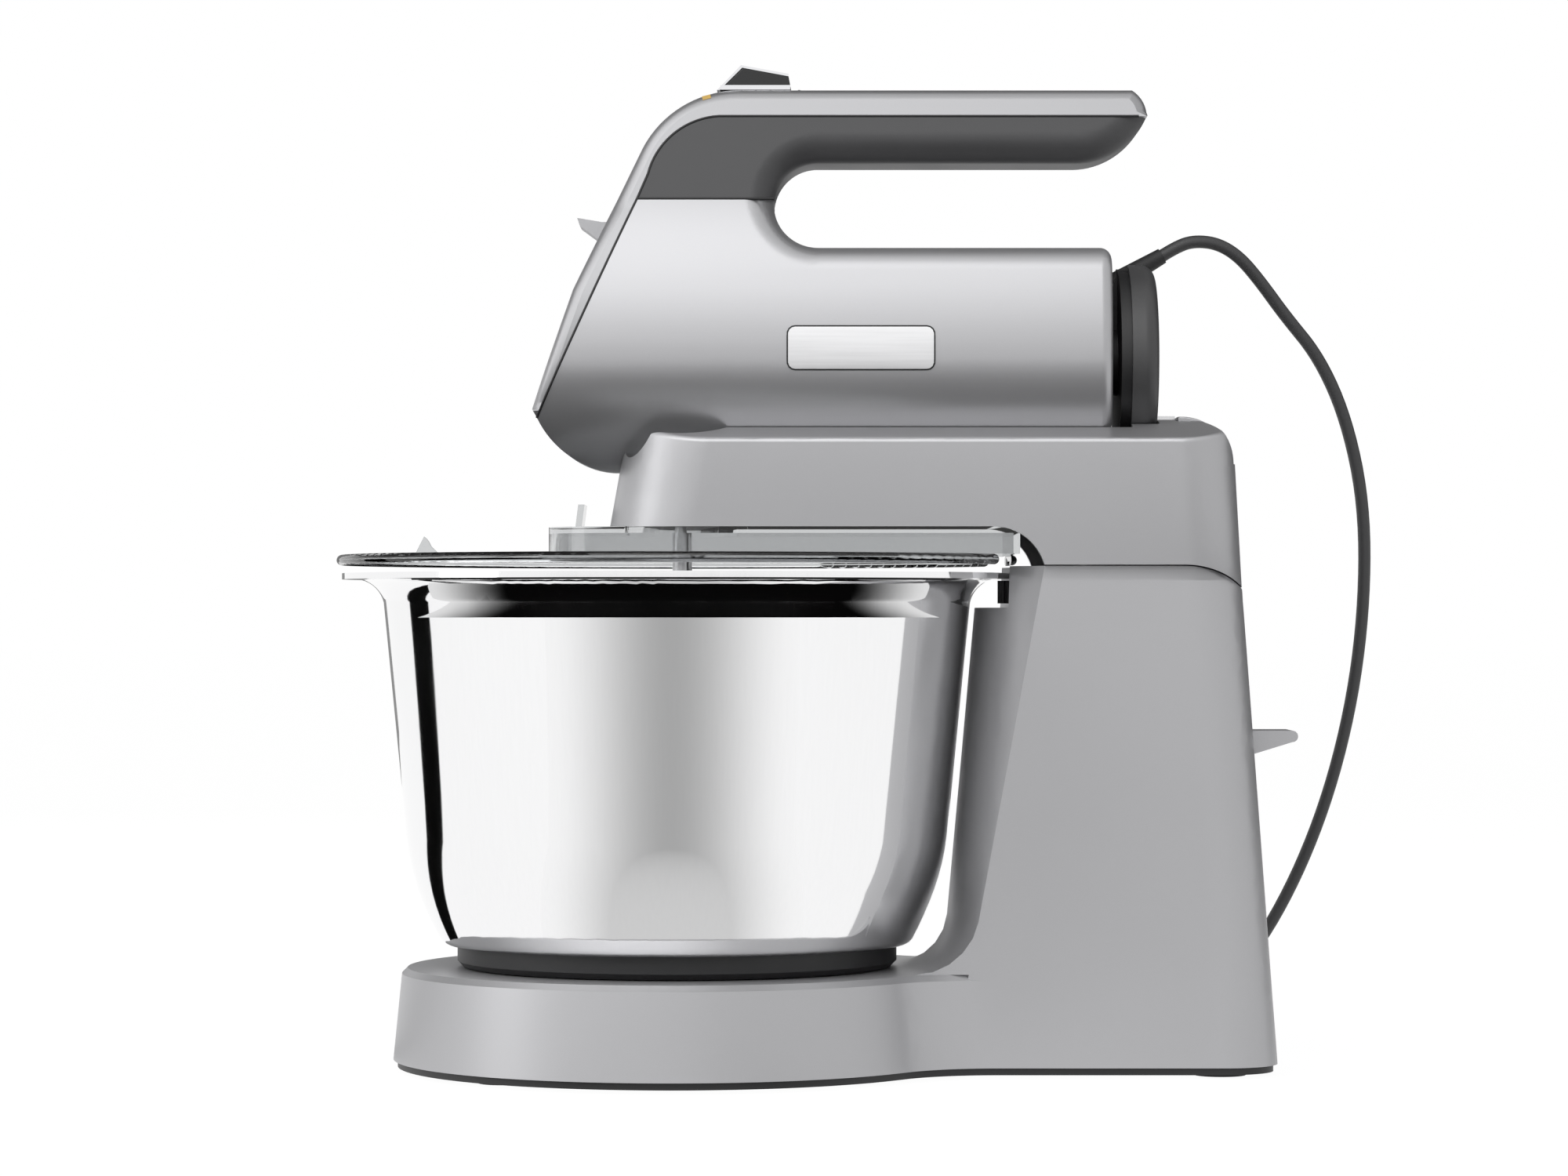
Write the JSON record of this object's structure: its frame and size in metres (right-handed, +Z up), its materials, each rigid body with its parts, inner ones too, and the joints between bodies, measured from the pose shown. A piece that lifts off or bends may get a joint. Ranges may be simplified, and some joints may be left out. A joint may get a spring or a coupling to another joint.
{
  "type": "stand mixer",
  "caption": "Hand mixer docked on a tilting stand, with a turning steel bowl, clear splash guard, wire beaters, release button, speed slider and trailing cord.",
  "frame": {"origin": "on the table under the middle of the box, without the cord", "axes": "+Z up, bowl towards -X, column and cord towards +X, +Y to the far side of the pictured view"},
  "size_m": [0.3693, 0.2872, 0.3511],
  "materials": {
    "silver": "satin silver",
    "trim_silver": "satin pale silver",
    "grip_grey": "soft matt dark grey",
    "black": "matt black",
    "clear": "clear",
    "bowl_steel": "polished",
    "steel": "bright",
    "chrome": "bright",
    "iron": "laminated",
    "brass": "plain",
    "rubber": "matt",
    "cord": "matt"
  },
  "bodies": {
    "stand": {"stand_shell": "silver", "base_plate": "black", "rubber_feet": "rubber", "turntable_pin": "steel", "hinge_pin": "steel", "lever_pin": "steel", "roller_pin": "steel"},
    "head": {"head_shell": "silver", "head_cover": "black", "hinge_lugs": "black", "hinge_bushes": "brass", "splash_guard": "clear"},
    "tilt_lever": {"tilt_lever": "black"},
    "release_button": {"release_button": "silver", "mixer_catch": "steel"},
    "mixer": {"mixer_housing": "silver", "handle_grip": "grip_grey", "top_trim": "trim_silver", "front_lever_pin": "steel", "speed_switch": "black", "spool_hub": "black", "cord_spool": "grip_grey", "cord_gland": "rubber", "motor_stator": "iron", "front_bearing": "brass", "rear_bearing": "brass", "front_motor_frame": "black", "rear_motor_frame": "black", "brush_holders": "brass", "cord_lead": "cord", "cord_coil": "cord", "cord_tie": "rubber", "cord_plug": "rubber", "plug_pins": "brass"},
    "speed_slider": {"speed_slider": "black", "slider_cap": "chrome"},
    "front_lever": {"front_lever": "grip_grey"},
    "rotor": {"worm_shaft": "steel", "rotor_core": "iron", "commutator": "brass", "cooling_fan": "black"},
    "beater_left": {"worm_wheel_left": "black", "beater_left": "steel"},
    "beater_right": {"worm_wheel_right": "black", "beater_right": "steel"},
    "bowl": {"bowl": "bowl_steel", "turntable": "black"},
    "roller": {"bowl_roller": "black"}
  },
  "joints": [
    {"name": "head_tilt", "type": "hinge", "parent": "stand", "child": "head", "pos_m": [0.126, 0, 0.144], "axis": [0, 1, 0], "range_deg": [0, 45]},
    {"name": "lever_press", "type": "hinge", "parent": "stand", "child": "tilt_lever", "pos_m": [0.139, 0, 0.1145], "axis": [0, 1, 0], "range_deg": [0, 12], "stiffness_Nm_per_rad": 0.6, "springref_deg": -5.73},
    {"name": "button_press", "type": "slide", "parent": "head", "child": "release_button", "axis": [0, 0, -1], "range_m": [0, 0.003], "stiffness_N_per_m": 600, "springref_m": -0.002},
    {"name": "mixer_lift", "type": "slide", "parent": "head", "child": "mixer", "axis": [0, 0, 1], "range_m": [0, 0.18]},
    {"name": "speed_slide", "type": "slide", "parent": "mixer", "child": "speed_slider", "axis": [1, 0, 0], "range_m": [0, 0.015]},
    {"name": "front_lever_press", "type": "hinge", "parent": "mixer", "child": "front_lever", "pos_m": [-0.068, 0, 0.293], "axis": [0, -1, 0], "range_deg": [0, 12], "stiffness_Nm_per_rad": 0.3, "springref_deg": -5.73},
    {"name": "rotor_spin", "type": "hinge", "parent": "mixer", "child": "rotor", "pos_m": [0.016, 0, 0.2476], "axis": [1, 0, 0], "continuous": true},
    {"name": "beater_left_spin", "type": "hinge", "parent": "mixer", "child": "beater_left", "pos_m": [-0.047, -0.02, 0.2], "axis": [0, 0, 1], "continuous": true},
    {"name": "beater_right_spin", "type": "hinge", "parent": "mixer", "child": "beater_right", "pos_m": [-0.047, 0.02, 0.2], "axis": [0, 0, 1], "continuous": true},
    {"name": "bowl_spin", "type": "hinge", "parent": "stand", "child": "bowl", "pos_m": [-0.0488, 0, 0.04], "axis": [0, 0, 1], "continuous": true},
    {"name": "roller_spin", "type": "hinge", "parent": "stand", "child": "roller", "pos_m": [0.0696, 0, 0.167], "axis": [0, 0, 1], "continuous": true}
  ],
  "couplings": [
    {"joint": "beater_left_spin", "follows": "rotor_spin", "ratio": 0.041667},
    {"joint": "beater_right_spin", "follows": "rotor_spin", "ratio": -0.041667}
  ]
}
